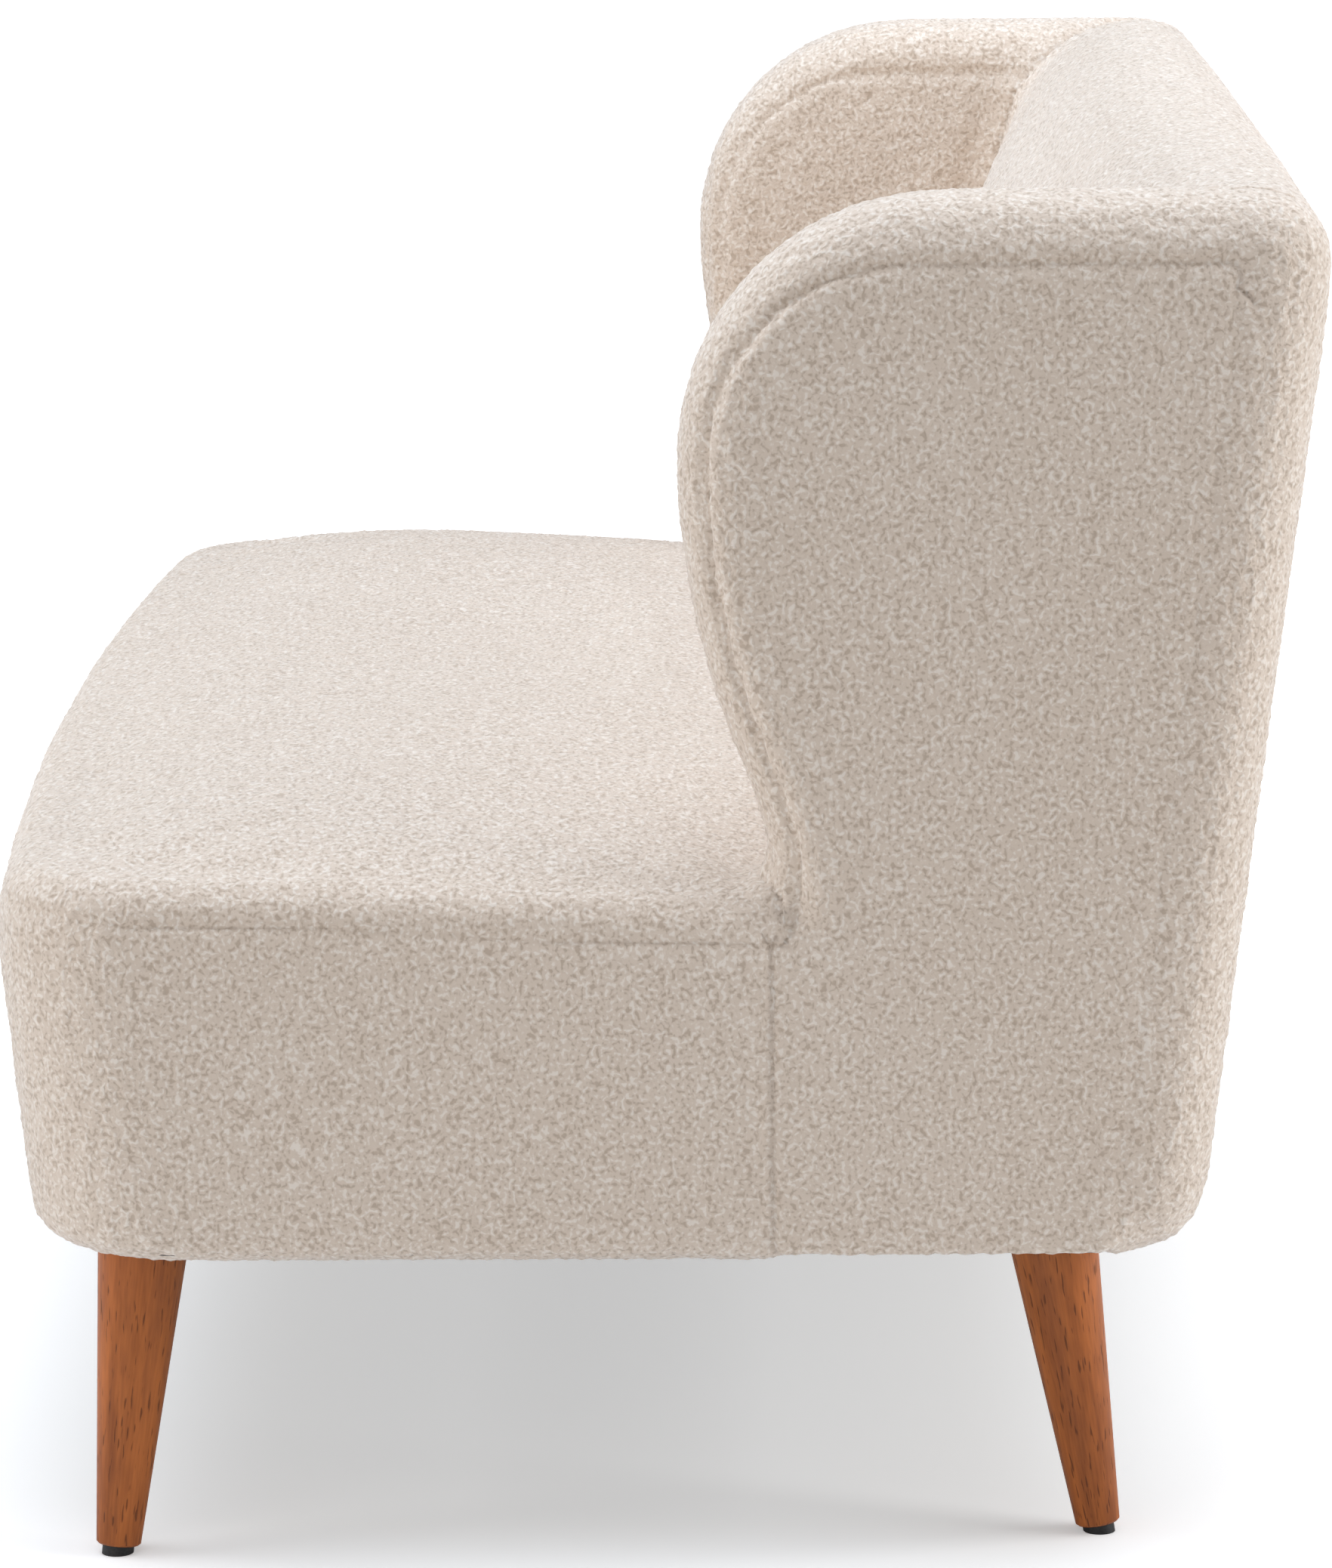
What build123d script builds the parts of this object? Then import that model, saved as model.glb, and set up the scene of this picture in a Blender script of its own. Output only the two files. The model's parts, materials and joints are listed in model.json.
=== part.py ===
from build123d import *
import os
from math import cos, radians, sin, tan

# A two-seat settee: sewn curly-pile covers over foam, on a timber frame with four splayed legs.
# Millimetres. X runs across the seat, Y from the front (minus) to the back (plus), Z up.
# The origin is on the floor under the middle of the sofa. Left and right are the sitter's,
# so the left side is at plus X.

# Overall size
sofa_width = 1270.0
sofa_depth = 792.0
sofa_height = 800.0
body_bottom = 190.0

# Covers, padding and the gap left between pieces that lie on each other
cover_thickness = 3.0
border_pad_thickness = 11.0
fit_gap = 0.4

# Seat: the seam between its top and its border slopes down to the back
seat_seam_front = 391.0
seat_slope = 2.3
seat_edge_rise = 22.0
seat_middle_crown = 22.0
seat_side_crown = 6.0
seat_front_bow = 24.0
seat_corner_radius = 100.0
seat_edge_radius = 32.0
seat_bottom_radius = 22.0
seat_draw_in = 16.0
seat_draw_start = 350.0
seat_turn_under = 24.0
seat_tuck = 50.0
pillow_margin = 10.0

# Wings: the front edge is a hollow, a swell and a round top corner
wing_front = 74.0
wing_thickness = 98.0
wing_hollow_radius = 250.0
wing_swell_radius = 450.0
wing_swing = 23.0
wing_outer_radius = 48.0
wing_inner_radius = 40.0
wing_tuck = 30.0
band_front_width = 17.0
band_top_width = 40.0

# Back: a leaning wedge with a soft rolled top
back_lean = 7.1
back_rear_radius = 45.0
back_front_radius = 92.0
back_bottom_radius = 40.0
inside_lean = 15.0
inside_level = 400.0
inside_back_at_level = 165.0
back_crown = 12.0
back_tuck_level = 345.0
outside_back_drop = 55.0
side_return = 57.0

# Timber frame
rail_thickness = 25.0
rail_bottom = 196.0
rail_top = 300.0
rear_rail_clearance = 8.0
centre_rail_height = 60.0
spring_rail_height = 40.0
wing_panel_thickness = 18.0
wing_panel_inset = 28.0
ladder_offset = 25.0
ladder_depth = 45.0
ladder_rail_height = 50.0
ladder_top_drop = 48.5
post_width = 45.0
side_post_spacing = 700.0
back_board_thickness = 4.0
dowel_diameter = 10.0
dowel_length = 60.0
dowel_rise = 30.0
dowel_in_rail = 20.0
dowel_in_panel = 15.0

# Springs, felt and webbing
spring_count = 8
spring_spacing = 130.0
spring_wire = 3.8
spring_straight = 24.0
spring_bends = 20
clip_width = 14.0
clip_depth = 20.0
clip_height = 6.4
felt_thickness = 2.0
strap_count = 7
strap_width = 50.0
strap_spacing = 145.0
strap_thickness = 2.0

# Legs: how far each axis meets the frame from the side and from the front, and its splay to the floor
front_leg_side = 77.0
front_leg_back = 104.0
front_leg_splay = (27.0, -18.0)
rear_leg_side = 100.0
rear_plate_gap = 1.0
rear_leg_splay = (14.0, 30.0)
leg_top_diameter = 55.0
leg_foot_diameter = 26.0
leg_foot_chamfer = 1.2
glide_diameter = 18.6
glide_thickness = 5.0
glide_nail_diameter = 2.4
glide_nail_length = 18.0
leg_plate_size = 64.0
leg_plate_thickness = 2.5
leg_plate_corner = 6.0
leg_plate_margin = 6.0
bolt_diameter = 8.0
bolt_in_leg = 45.0
bolt_in_block = 30.0
plate_screw_diameter = 4.0
plate_screw_head = 7.6
plate_screw_head_height = 1.4
plate_screw_length = 22.0
plate_screw_inset = 9.0
bore_gap = 0.1
dust_cover_thickness = 1.0
dust_cover_hem = 14.0
dust_cover_hole_gap = 3.0

# Sizes worked out from the values above
half_width = sofa_width / 2
half_depth = sofa_depth / 2
wing_inner_x = half_width - wing_thickness
pad_inset = cover_thickness + fit_gap
frame_inset = pad_inset + border_pad_thickness + fit_gap
side_rail_x = half_width - frame_inset - rail_thickness
wing_panel_x = side_rail_x - wing_panel_thickness
back_half = wing_panel_x - fit_gap
lean = radians(back_lean)
rear_tangent = back_rear_radius * tan(radians((90 + back_lean) / 2))
rear_corner_y = half_depth - back_rear_radius + rear_tangent
felt_level = rail_top + clip_height + fit_gap
deck_level = felt_level + felt_thickness + fit_gap
leg_plate_level = rail_bottom - leg_plate_thickness
beyond = 100.0


def seam_height(y):
    """Height of the seam between the seat's top and its border."""
    return seat_seam_front - (y + half_depth) * tan(radians(seat_slope))


def rear_y(z):
    """Depth of the leaning outside back at a height."""
    return rear_corner_y - (sofa_height - z) * tan(lean)


def inside_y(z):
    """Depth of the leaning inside back at a height, beside its crown."""
    return inside_back_at_level + (z - inside_level) * tan(radians(inside_lean))


wing_foot = seam_height(wing_front)
seat_rear = inside_back_at_level + seat_tuck
rear_rail_y = rear_y(body_bottom) - back_bottom_radius + rear_rail_clearance
rear_rail_front = rear_rail_y - rail_thickness
seat_rail_front = -half_depth + seat_draw_in + frame_inset
plate_reach = leg_plate_size / 2 + leg_plate_margin
front_leg_top = (half_width - front_leg_side, -half_depth + front_leg_back)
front_leg_foot = (front_leg_top[0] + front_leg_splay[0], front_leg_top[1] + front_leg_splay[1])
rear_leg_top = (half_width - rear_leg_side, rear_rail_front - leg_plate_size / 2 - rear_plate_gap)
rear_leg_foot = (rear_leg_top[0] + rear_leg_splay[0], rear_leg_top[1] + rear_leg_splay[1])
outside_back_top = sofa_height - outside_back_drop
ladder_height = (sofa_height - ladder_top_drop - rail_top) / cos(lean)
leg_tops = [(side * x, y) for x, y in (front_leg_top, rear_leg_top) for side in (1, -1)]
leg_feet = [(side * x, y) for x, y in (front_leg_foot, rear_leg_foot) for side in (1, -1)]
leg_names = [f"{side}_{end}" for end in ("front", "rear") for side in ("left", "right")]


def lean_plane(offset):
    """Plane along the outside back, moved towards the sitter, with its height up the lean."""
    return Plane(
        origin=(0, rear_y(rail_top) - offset * cos(lean), rail_top + offset * sin(lean)),
        x_dir=(1, 0, 0),
        z_dir=(0, -cos(lean), sin(lean)),
    )


def wing_outline(front_cut=0.0, top_cut=0.0):
    """Side view of a wing in (Y, Z). The cuts take a strip off its front and its top."""
    front = wing_front + front_cut
    foot = wing_foot - wing_tuck
    top = sofa_height - top_cut
    hollow_radius = wing_hollow_radius + front_cut
    swell_radius = wing_swell_radius - front_cut
    swell_top = wing_foot + (hollow_radius + swell_radius) * sin(radians(wing_swing))
    rear_top = (rear_y(top), top)
    with BuildSketch() as outline:
        with BuildLine():
            rise = Line((front, foot), (front, wing_foot))
            hollow = JernArc(rise @ 1, rise % 1, hollow_radius, wing_swing)
            swell = JernArc(hollow @ 1, hollow % 1, swell_radius, -wing_swing)
            corner = JernArc(swell @ 1, swell % 1, top - swell_top, -90)
            Polyline(corner @ 1, rear_top, (rear_y(foot), foot), rise @ 0)
        make_face()
        fillet(vertices().sort_by_distance(rear_top)[0], radius=back_rear_radius)
    return outline.sketch


def wing_form(inset):
    """The left wing as one soft slab, rounded along its front, top and rear, drawn in by an inset."""
    with BuildPart() as form:
        with BuildSketch(Plane.YZ.offset(wing_inner_x + inset)):
            add(wing_outline())
            if inset != 0:
                offset(amount=-inset, kind=Kind.INTERSECTION)
        extrude(amount=wing_thickness - 2 * inset)
        outer_rim = form.faces().sort_by(Axis.X)[-1].edges().sort_by(Axis.Z)[1:]
        fillet(outer_rim, radius=wing_outer_radius - inset)
        inner_rim = form.faces().sort_by(Axis.X)[0].edges().sort_by(Axis.Z)[1:]
        fillet(inner_rim, radius=wing_inner_radius - inset)
    return form.part


def back_form(inset, foot):
    """The back between the wings, with a crowned inside face and a rolled top."""
    with BuildPart() as form:
        for x, crown in ((-back_half, 0), (0, back_crown), (back_half, 0)):
            with BuildSketch(Plane.YZ.offset(x)):
                inside_top = (inside_y(sofa_height) - crown, sofa_height)
                rear_top = (rear_corner_y, sofa_height)
                with BuildLine():
                    Polyline(
                        (inside_y(foot) - crown, foot),
                        inside_top,
                        rear_top,
                        (rear_y(foot), foot),
                        close=True,
                    )
                make_face()
                crest_room = rear_corner_y - inside_y(sofa_height) - rear_tangent - cover_thickness
                roll_limit = crest_room / tan(radians((90 - inside_lean) / 2))
                fillet(vertices().sort_by_distance(rear_top)[0], radius=back_rear_radius)
                fillet(
                    vertices().sort_by_distance(inside_top)[0],
                    radius=min(back_front_radius, roll_limit),
                )
                if inset != 0:
                    offset(amount=-inset, kind=Kind.INTERSECTION)
        loft()
    return form.part


def seat_plan(inset, draw_in, grow=0.0):
    """Plan of the seat, a wide front with a neck between the wings. Grow lengthens only the neck."""
    side = half_width - inset
    front = -half_depth + inset + draw_in
    neck = wing_inner_x - fit_gap + grow
    shoulder = wing_front - fit_gap + grow
    corner = front + seat_front_bow
    with BuildSketch() as plan:
        with BuildLine():
            ThreePointArc((-side, corner), (0, front), (side, corner))
            Polyline(
                (side, corner),
                (side, shoulder),
                (neck, shoulder),
                (neck, seat_rear + grow),
                (-neck, seat_rear + grow),
                (-neck, shoulder),
                (-side, shoulder),
                (-side, corner),
            )
        make_face()
        front_corners = vertices().filter_by(lambda v: abs(v.Y - corner) < fit_gap)
        fillet(front_corners, radius=max(seat_corner_radius - inset, fit_gap))
    return plan.sketch


def seat_pillow(inset):
    """A block under the seat's crowned top."""
    front = -half_depth - pillow_margin
    rear = seat_rear + pillow_margin
    middle = (front + rear) / 2
    with BuildPart() as pillow:
        for x, crown in (
            (-half_width, seat_side_crown),
            (0, seat_middle_crown),
            (half_width, seat_side_crown),
        ):
            edge = seat_edge_rise - inset
            with BuildSketch(Plane.YZ.offset(x)):
                with BuildLine():
                    top = ThreePointArc(
                        (front, seam_height(front) + edge),
                        (middle, seam_height(middle) + edge + crown),
                        (rear, seam_height(rear) + edge),
                    )
                    Polyline(top @ 0, (front, body_bottom - beyond), (rear, body_bottom - beyond), top @ 1)
                make_face()
        loft()
    return pillow.part


def seat_form(inset, grow=0.0):
    """The seat with its crown, rounded upper edge, drawn-in front and rounded bottom edge."""
    pillow = seat_pillow(inset)
    with BuildPart() as form:
        for level, draw_in in ((body_bottom + inset, seat_draw_in), (seat_draw_start, 0), (sofa_height, 0)):
            with BuildSketch(Plane.XY.offset(level)):
                add(seat_plan(inset, draw_in, grow))
        loft(ruled=True)
        add(pillow, mode=Mode.INTERSECT)
        front_part = wing_front - fit_gap + grow - 1
        top_rim = form.faces().sort_by(Axis.Z)[-1].edges()
        fillet(top_rim.filter_by(lambda e: e.center().Y < front_part), radius=seat_edge_radius - inset)
        bottom_rim = form.faces().sort_by(Axis.Z)[0].edges()
        fillet(bottom_rim.filter_by(lambda e: e.center().Y < front_part), radius=seat_bottom_radius - inset)
    return form.part


def rear_form(inset):
    """The rear of the whole body, rounded down both corners, along the top and under the bottom."""
    with BuildPart() as form:
        with BuildSketch(Plane.YZ.offset(-half_width + inset)):
            with BuildLine():
                Polyline(
                    (wing_front, body_bottom),
                    (wing_front, sofa_height),
                    (rear_corner_y, sofa_height),
                    (rear_y(body_bottom), body_bottom),
                    close=True,
                )
            make_face()
            fillet(vertices().sort_by_distance((rear_corner_y, sofa_height))[0], radius=back_rear_radius)
            fillet(
                vertices().sort_by_distance((rear_y(body_bottom), body_bottom))[0],
                radius=back_bottom_radius,
            )
            if inset > 0:
                offset(amount=-inset, kind=Kind.INTERSECTION)
        extrude(amount=sofa_width - 2 * inset)
        for side in (0, -1):
            rim = form.faces().sort_by(Axis.X)[side].edges().sort_by(Axis.Y)[1:]
            fillet(rim, radius=wing_outer_radius - inset)
    return form.part


def side_zone():
    """Block through the left side that holds the part of a wing inside its band seams."""
    with BuildPart() as zone:
        with BuildSketch(Plane.YZ.offset(wing_inner_x - beyond)):
            add(wing_outline(band_front_width, band_top_width))
        extrude(amount=wing_thickness + 2 * beyond)
        split(bisect_by=rear_seam, keep=Keep.TOP)
    return zone.part


def wing_panel_form(grow):
    """The left wing's plywood panel, standing on the side rail's inner face, grown by a gap."""
    front = wing_front + wing_panel_inset - grow
    with BuildPart() as form:
        with BuildSketch(Plane.YZ.offset(wing_panel_x - grow)):
            add(wing_outline())
            offset(amount=grow - wing_panel_inset, kind=Kind.INTERSECTION)
            with BuildLine():
                Polyline(
                    (front, rail_bottom - grow),
                    (front, wing_foot + grow),
                    (rear_y(wing_foot) - wing_panel_inset / cos(lean) + grow, wing_foot + grow),
                    (rear_rail_y + grow, rail_bottom - grow),
                    close=True,
                )
            make_face()
        extrude(amount=wing_panel_thickness + 2 * grow)
    return form.part


def leg_axis(top, foot):
    """Plane on the floor at a leg's foot, with its normal up the leg."""
    return Plane(
        origin=(foot[0], foot[1], 0),
        x_dir=(1, 0, 0),
        z_dir=(top[0] - foot[0], top[1] - foot[1], leg_plate_level),
    )


def leg_length(top, foot):
    """Length of a leg's axis from the floor to the underside of its plate."""
    return Vector(top[0] - foot[0], top[1] - foot[1], leg_plate_level).length


def hanger_bolts(gap):
    """The four bolts that join legs to corner blocks, with room round them."""
    with BuildPart() as bolts:
        for top, foot in zip(leg_tops, leg_feet):
            start = leg_length(top, foot) - bolt_in_leg - gap
            with BuildSketch(leg_axis(top, foot).offset(start)):
                Circle(bolt_diameter / 2 + gap)
            extrude(amount=bolt_in_leg + bolt_in_block + 2 * gap)
    return bolts


def plate_screws(gap):
    """Four countersunk screws through each leg plate, with room round them."""
    spacing = leg_plate_size - 2 * plate_screw_inset
    with BuildPart() as screws:
        for top in leg_tops:
            with BuildSketch(Plane(origin=(top[0], top[1], leg_plate_level))):
                with GridLocations(spacing, spacing, 2, 2):
                    Circle(plate_screw_head / 2 + gap)
            extrude(amount=plate_screw_head_height + gap)
            with BuildSketch(Plane(origin=(top[0], top[1], leg_plate_level))):
                with GridLocations(spacing, spacing, 2, 2):
                    Circle(plate_screw_diameter / 2 + gap)
            extrude(amount=plate_screw_length + gap)
    return screws


def dowels(gap):
    """The dowels that join the rails, blocks and wing panels, with room round them."""
    bow = seat_front_bow * (front_block_x / half_width) ** 2
    front_joint = seat_rail_front + bow + rail_thickness - dowel_diameter
    low = rail_bottom + dowel_rise
    high = rail_top - dowel_rise
    panel_joint = wing_panel_x + dowel_in_panel - dowel_length / 2
    along_x = [(front_block_x, front_joint), (panel_joint, rear_rail_y - rail_thickness / 2)]
    along_y = [(side_rail_x + rail_thickness / 2, front_block_rear)]
    spots = []
    for side in (1, -1):
        for z in (low, high):
            spots += [Plane(origin=(side * x, y, z), z_dir=(1, 0, 0)) for x, y in along_x]
            spots += [Plane(origin=(side * x, y, z), z_dir=(0, 1, 0)) for x, y in along_y]
    reach = dowel_length / 2 - dowel_in_rail
    for y in (seat_rail_front + rail_thickness + reach, rear_rail_front - reach):
        spots.append(Plane(origin=(0, y, low), z_dir=(0, 1, 0)))
    with BuildPart() as pins:
        with Locations(*spots):
            Cylinder(dowel_diameter / 2 + gap, dowel_length + 2 * gap)
    return pins


def write(piece, name):
    """Label a finished piece and write it."""
    piece.part.label = name
    export_step(piece.part, f"parts/{name}.step")


def write_right(piece, name):
    """Write the mirror image of a left piece under its own name."""
    with BuildPart() as right:
        mirror(piece.part, about=Plane.YZ)
    write(right, name)


front_block_x = front_leg_top[0] - plate_reach
front_block_rear = front_leg_top[1] + plate_reach
rear_block_x = rear_leg_top[0] - plate_reach
rear_block_front = rear_leg_top[1] - plate_reach
rail_height = rail_top - rail_bottom
os.makedirs("parts", exist_ok=True)
rear_seam = lean_plane(side_return)
seat_seam = Plane(
    origin=(0, -half_depth, seat_seam_front),
    x_dir=(1, 0, 0),
    z_dir=(0, sin(radians(seat_slope)), cos(radians(seat_slope))),
)
back_envelope = back_form(-fit_gap, rail_top)
wing_envelope = wing_form(-fit_gap)

# Seat covers
seat_outer = seat_form(0)
seat_inner = seat_form(cover_thickness, grow=cover_thickness)
with BuildPart() as seat_top_cover:
    add(seat_outer)
    add(seat_inner, mode=Mode.SUBTRACT)
    split(bisect_by=seat_seam, keep=Keep.TOP)
    add(back_envelope, mode=Mode.SUBTRACT)
    add(wing_envelope, mode=Mode.SUBTRACT)
    mirror(wing_envelope, about=Plane.YZ, mode=Mode.SUBTRACT)
write(seat_top_cover, "seat_top_cover")

with BuildPart() as seat_border_cover:
    add(seat_outer)
    add(seat_inner, mode=Mode.SUBTRACT)
    split(bisect_by=seat_seam, keep=Keep.BOTTOM)
    with BuildSketch(Plane.XY.offset(body_bottom)):
        add(seat_plan(seat_turn_under, seat_draw_in, grow=cover_thickness))
    extrude(amount=cover_thickness, mode=Mode.SUBTRACT)
write(seat_border_cover, "seat_border_cover")

# Seat padding
seat_pad = seat_form(pad_inset)
with BuildPart() as seat_foam:
    add(seat_pad)
    split(bisect_by=Plane.XY.offset(deck_level), keep=Keep.TOP)
    add(back_envelope, mode=Mode.SUBTRACT)
    add(wing_envelope, mode=Mode.SUBTRACT)
    mirror(wing_envelope, about=Plane.YZ, mode=Mode.SUBTRACT)
write(seat_foam, "seat_foam")

with BuildPart() as seat_border_padding:
    add(seat_pad)
    split(bisect_by=Plane.XY.offset(deck_level - fit_gap), keep=Keep.BOTTOM)
    split(bisect_by=Plane.XY.offset(rail_bottom), keep=Keep.TOP)
    with BuildSketch(Plane.XY.offset(rail_bottom)):
        add(seat_plan(frame_inset - fit_gap, seat_draw_in, grow=cover_thickness))
    extrude(amount=deck_level, mode=Mode.SUBTRACT)
write(seat_border_padding, "seat_border_padding")

# Wing covers and foam
wing_outer = wing_form(0)
wing_inner = wing_form(cover_thickness)
wing_zone = side_zone()
with BuildPart() as wing_skin:
    add(wing_outer)
    add(wing_inner, mode=Mode.SUBTRACT)
    split(bisect_by=Plane.XY.offset(wing_foot), keep=Keep.TOP)

with BuildPart() as left_outer_side_cover:
    add(wing_skin.part)
    add(wing_zone, mode=Mode.INTERSECT)
    split(bisect_by=Plane.YZ.offset(wing_inner_x + wing_thickness / 2), keep=Keep.TOP)
    with BuildSketch(Plane.YZ.offset(half_width - cover_thickness)):
        with BuildLine():
            Polyline(
                (wing_front, body_bottom),
                (wing_front, wing_foot),
                (rear_y(wing_foot) - side_return / cos(lean), wing_foot),
                (rear_y(body_bottom) - side_return / cos(lean), body_bottom),
                close=True,
            )
        make_face()
    extrude(amount=cover_thickness)
write(left_outer_side_cover, "left_outer_side_cover")
write_right(left_outer_side_cover, "right_outer_side_cover")

with BuildPart() as left_inside_wing_cover:
    add(wing_skin.part)
    add(wing_zone, mode=Mode.INTERSECT)
    split(bisect_by=Plane.YZ.offset(wing_inner_x + wing_thickness / 2), keep=Keep.BOTTOM)
    add(back_envelope, mode=Mode.SUBTRACT)
write(left_inside_wing_cover, "left_inside_wing_cover")
write_right(left_inside_wing_cover, "right_inside_wing_cover")

outside_zone_top = Plane.XY.offset(outside_back_top)
with BuildPart() as rear_zone:
    add(rear_form(0))
    split(bisect_by=rear_seam, keep=Keep.BOTTOM)
    split(bisect_by=outside_zone_top, keep=Keep.BOTTOM)

with BuildPart() as left_wing_band:
    add(wing_skin.part)
    add(wing_zone, mode=Mode.SUBTRACT)
    add(rear_zone.part, mode=Mode.SUBTRACT)
    add(back_envelope, mode=Mode.SUBTRACT)
write(left_wing_band, "left_wing_band")
write_right(left_wing_band, "right_wing_band")

with BuildPart() as outside_back_cover:
    add(rear_zone.part)
    add(rear_form(cover_thickness), mode=Mode.SUBTRACT)
write(outside_back_cover, "outside_back_cover")

with BuildPart() as left_wing_foam:
    add(wing_form(pad_inset))
    split(bisect_by=Plane.XY.offset(wing_foot), keep=Keep.TOP)
    add(wing_panel_form(fit_gap), mode=Mode.SUBTRACT)
    add(back_envelope, mode=Mode.SUBTRACT)
write(left_wing_foam, "left_wing_foam")
write_right(left_wing_foam, "right_wing_foam")

with BuildPart() as left_side_padding:
    with BuildSketch(Plane.YZ.offset(half_width - pad_inset - border_pad_thickness)):
        with BuildLine():
            Polyline(
                (wing_front, rail_bottom),
                (wing_front, wing_foot - fit_gap),
                (rear_y(wing_foot) - side_return / cos(lean) - fit_gap, wing_foot - fit_gap),
                (rear_y(rail_bottom) - side_return / cos(lean) - fit_gap, rail_bottom),
                close=True,
            )
        make_face()
    extrude(amount=border_pad_thickness)
write(left_side_padding, "left_side_padding")
write_right(left_side_padding, "right_side_padding")

# Back cover and padding
with BuildPart() as inside_back_cover:
    add(back_form(0, back_tuck_level))
    add(back_form(cover_thickness, back_tuck_level - beyond), mode=Mode.SUBTRACT)
    add(rear_zone.part, mode=Mode.SUBTRACT)
write(inside_back_cover, "inside_back_cover")

webbing_front = ladder_offset + ladder_depth + strap_thickness + fit_gap
with BuildPart() as back_foam:
    add(back_form(pad_inset, deck_level - pad_inset))
    with BuildSketch(lean_plane(-beyond)):
        with Locations((0, ladder_height + fit_gap)):
            Rectangle(sofa_width, sofa_height, align=(Align.CENTER, Align.MAX))
    extrude(amount=webbing_front + beyond, mode=Mode.SUBTRACT)
write(back_foam, "back_foam")

outside_pad_top = (outside_back_top - rail_top) / cos(lean)
with BuildPart() as outside_back_padding:
    with BuildSketch(lean_plane(pad_inset)):
        with Locations((0, outside_pad_top)):
            Rectangle(2 * back_half, outside_pad_top, align=(Align.CENTER, Align.MAX))
    extrude(amount=ladder_offset - back_board_thickness - fit_gap - pad_inset)
write(outside_back_padding, "outside_back_padding")

# Back frame, a leaning ladder of two rails and three posts with a board behind it
with BuildPart() as back_board:
    with BuildSketch(lean_plane(ladder_offset - back_board_thickness)):
        Rectangle(2 * back_half, ladder_height, align=(Align.CENTER, Align.MIN))
    extrude(amount=back_board_thickness)
write(back_board, "back_board")

with BuildPart() as back_bottom_rail:
    with BuildSketch(lean_plane(ladder_offset)):
        Rectangle(2 * back_half, 2 * ladder_rail_height)
    extrude(amount=ladder_depth)
    split(bisect_by=Plane.XY.offset(rail_top), keep=Keep.TOP)
write(back_bottom_rail, "back_bottom_rail")

with BuildPart() as back_top_rail:
    with BuildSketch(lean_plane(ladder_offset)):
        with Locations((0, ladder_height)):
            Rectangle(2 * back_half, ladder_rail_height, align=(Align.CENTER, Align.MAX))
    extrude(amount=ladder_depth)
write(back_top_rail, "back_top_rail")

post_length = ladder_height - 2 * ladder_rail_height
for post_name, post_x in (
    ("right_back_post", -side_post_spacing / 2),
    ("centre_back_post", 0),
    ("left_back_post", side_post_spacing / 2),
):
    with BuildPart() as back_post:
        with BuildSketch(lean_plane(ladder_offset)):
            with Locations((post_x, ladder_rail_height)):
                Rectangle(post_width, post_length, align=(Align.CENTER, Align.MIN))
        extrude(amount=ladder_depth)
    write(back_post, post_name)

with BuildPart() as back_webbing:
    with BuildSketch(lean_plane(ladder_offset + ladder_depth)):
        with Locations((0, ladder_height / 2)):
            with GridLocations(strap_spacing, 1, strap_count, 1):
                Rectangle(strap_width, ladder_height - ladder_rail_height)
    extrude(amount=strap_thickness)
write(back_webbing, "back_webbing")

# Seat frame
bolt_bores = hanger_bolts(bore_gap).part
screw_bores = plate_screws(bore_gap).part
dowel_bores = dowels(bore_gap).part

with BuildPart() as front_rail:
    with BuildSketch(Plane.XY.offset(rail_bottom)):
        add(seat_plan(frame_inset, seat_draw_in))
        add(seat_plan(frame_inset + rail_thickness, seat_draw_in, grow=cover_thickness), mode=Mode.SUBTRACT)
        Rectangle(2 * front_block_x, 2 * half_depth, mode=Mode.INTERSECT)
    extrude(amount=rail_height)
    add(dowel_bores, mode=Mode.SUBTRACT)
write(front_rail, "front_rail")

with BuildPart() as rear_rail:
    with BuildSketch(Plane.XY.offset(rail_bottom)):
        with Locations((0, rear_rail_y)):
            Rectangle(2 * wing_panel_x, rail_thickness, align=(Align.CENTER, Align.MAX))
    extrude(amount=rail_height)
    add(dowel_bores, mode=Mode.SUBTRACT)
write(rear_rail, "rear_rail")

with BuildPart() as left_side_rail:
    with BuildSketch(Plane.XY.offset(rail_bottom)):
        with Locations((side_rail_x, front_block_rear)):
            Rectangle(rail_thickness, rear_rail_front - front_block_rear, align=(Align.MIN, Align.MIN))
    extrude(amount=rail_height)
    add(dowel_bores, mode=Mode.SUBTRACT)
write(left_side_rail, "left_side_rail")
write_right(left_side_rail, "right_side_rail")

with BuildPart() as centre_rail:
    with BuildSketch(Plane.XY.offset(rail_bottom)):
        with Locations((0, rear_rail_front)):
            Rectangle(
                rail_thickness,
                rear_rail_front - seat_rail_front - rail_thickness,
                align=(Align.CENTER, Align.MAX),
            )
    extrude(amount=centre_rail_height)
    add(front_rail.part, mode=Mode.SUBTRACT)
    add(dowel_bores, mode=Mode.SUBTRACT)
write(centre_rail, "centre_rail")

with BuildPart() as rear_spring_rail:
    with BuildSketch(Plane.XY.offset(rail_top)):
        with Locations((0, rear_rail_front)):
            Rectangle(2 * rear_block_x, rail_thickness, align=(Align.CENTER, Align.MAX))
    extrude(amount=-spring_rail_height)
write(rear_spring_rail, "rear_spring_rail")

with BuildPart() as left_front_corner_block:
    with BuildSketch(Plane.XY.offset(rail_bottom)):
        add(seat_plan(frame_inset, seat_draw_in))
        with Locations((front_block_x, front_block_rear)):
            Rectangle(half_width, half_depth, align=(Align.MIN, Align.MAX), mode=Mode.INTERSECT)
    extrude(amount=rail_height)
    for bores in (bolt_bores, screw_bores, dowel_bores):
        add(bores, mode=Mode.SUBTRACT)
write(left_front_corner_block, "left_front_corner_block")
write_right(left_front_corner_block, "right_front_corner_block")

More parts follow.
